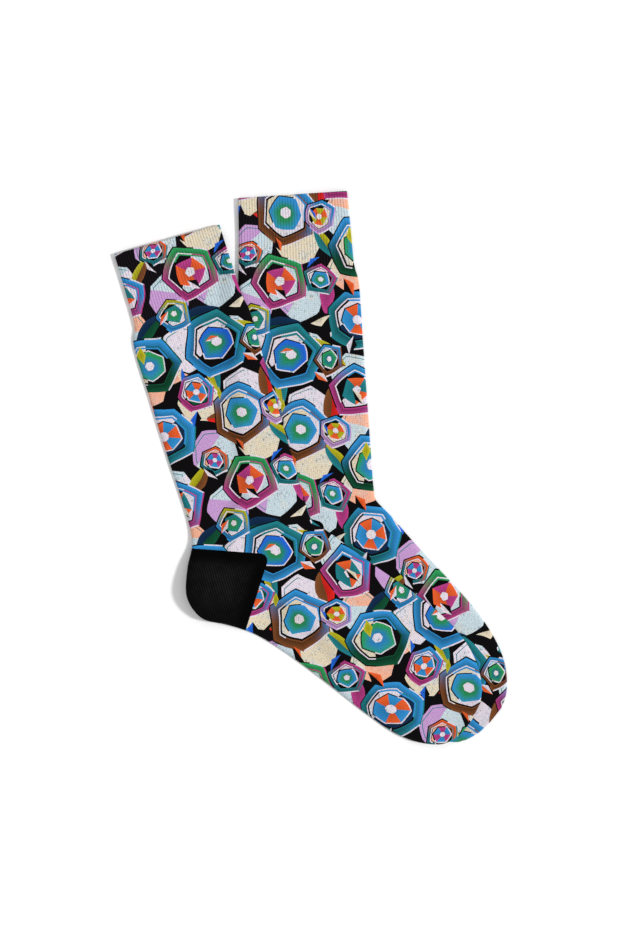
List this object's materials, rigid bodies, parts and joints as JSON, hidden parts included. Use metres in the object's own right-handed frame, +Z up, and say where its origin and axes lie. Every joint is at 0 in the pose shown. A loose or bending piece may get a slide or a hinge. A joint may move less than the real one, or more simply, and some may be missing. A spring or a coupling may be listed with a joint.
{
  "type": "pair of socks",
  "caption": "crew socks laid flat and crossed, ribbed cuffs, a geometric print in blue, green, pink and orange on black, plain black heels, closed rounded toes",
  "frame": {"origin": "on the surface that the socks lie on, at the middle of the rectangle that the pair covers", "axes": "+Z up from the surface, +Y from the toes towards the cuffs, +X to the side that the toes point to"},
  "size_m": [0.2944, 0.414, 0.0111],
  "materials": {
    "ribbed_cuff": "matte ribbed knit, printed",
    "printed_knit": "matte plain knit, printed",
    "heel_knit": "matte plain knit, black"
  },
  "bodies": {
    "root": {"upper_cuff": "ribbed_cuff", "upper_body": "printed_knit", "upper_heel": "heel_knit", "lower_cuff": "ribbed_cuff", "lower_body": "printed_knit", "lower_heel": "heel_knit"}
  },
  "joints": []
}
